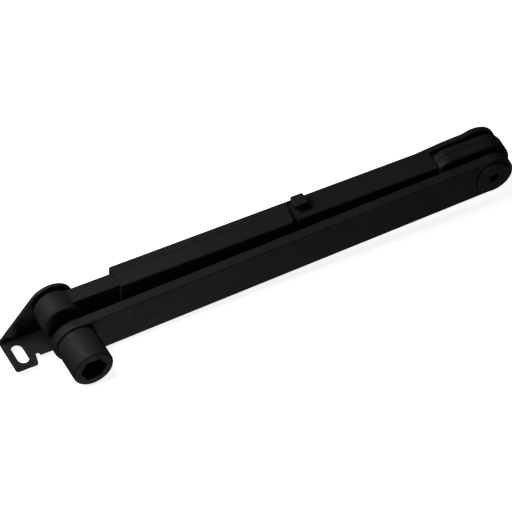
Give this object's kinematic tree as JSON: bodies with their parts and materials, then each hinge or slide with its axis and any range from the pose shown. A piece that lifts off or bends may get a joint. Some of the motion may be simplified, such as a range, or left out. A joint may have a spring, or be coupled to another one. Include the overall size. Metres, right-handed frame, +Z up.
{
  "type": "folding telescopic window stay",
  "caption": "Folding casement window stay: a flat main arm with a hex drive hub, an elbow, a boxed forearm with a button-released slide bar, and a swivelling slotted bracket.",
  "frame": {"origin": "centre of the folded stay's box in X and Y, on its lowest face; the stay stands on its lower edges, as it is drawn", "axes": "+X along the forearm towards the elbow, +Y away from the drive hub's mouth, along every pivot axis, +Z up across the arms' depth towards the release button's face"},
  "size_m": [0.3046, 0.0516, 0.0393],
  "materials": {
    "black_coat": "matt black powder coat",
    "black_plastic": "moulded matt black plastic",
    "nylon": "dark nylon",
    "dark_steel": "black oxide steel"
  },
  "bodies": {
    "main_arm": {"main_arm": "black_coat", "drive_hub": "black_coat", "elbow_bush": "dark_steel", "elbow_thrust_washer": "nylon"},
    "forearm": {"outer_channel": "black_coat", "slide_cover": "black_plastic", "elbow_plate_front": "black_coat", "elbow_plate_rear": "black_coat", "elbow_bolt": "black_coat", "elbow_spacer": "dark_steel", "elbow_disc_spring": "dark_steel", "elbow_washer": "dark_steel", "elbow_nut": "black_coat", "arm_rivet_1": "dark_steel", "arm_rivet_2": "dark_steel", "button_spring": "dark_steel"},
    "slide": {"slide_bar": "black_coat", "knuckle_bush": "dark_steel"},
    "bracket": {"frame_bracket": "black_coat", "bracket_pin": "black_coat", "bracket_washer": "nylon", "bracket_pin_collar": "dark_steel"},
    "button": {"release_button": "black_plastic", "button_retainer": "dark_steel"}
  },
  "joints": [
    {"name": "elbow_fold", "type": "hinge", "parent": "main_arm", "child": "forearm", "pos_m": [0.13775, 0.0079, 0.02395], "axis": [0, 1, 0], "range_deg": [0, 165]},
    {"name": "slide_extension", "type": "slide", "parent": "forearm", "child": "slide", "axis": [-1, 0, 0], "range_m": [0, 0.05]},
    {"name": "bracket_swivel", "type": "hinge", "parent": "slide", "child": "bracket", "pos_m": [-0.12145, 0.0119, 0.02395], "axis": [0, 1, 0], "range_deg": [-20, 105]},
    {"name": "button_press", "type": "slide", "parent": "forearm", "child": "button", "axis": [0, 0, -1], "range_m": [0, 0.0022], "stiffness_N_per_m": 500, "springref_m": -0.002, "deforming": ["button_spring"]}
  ]
}
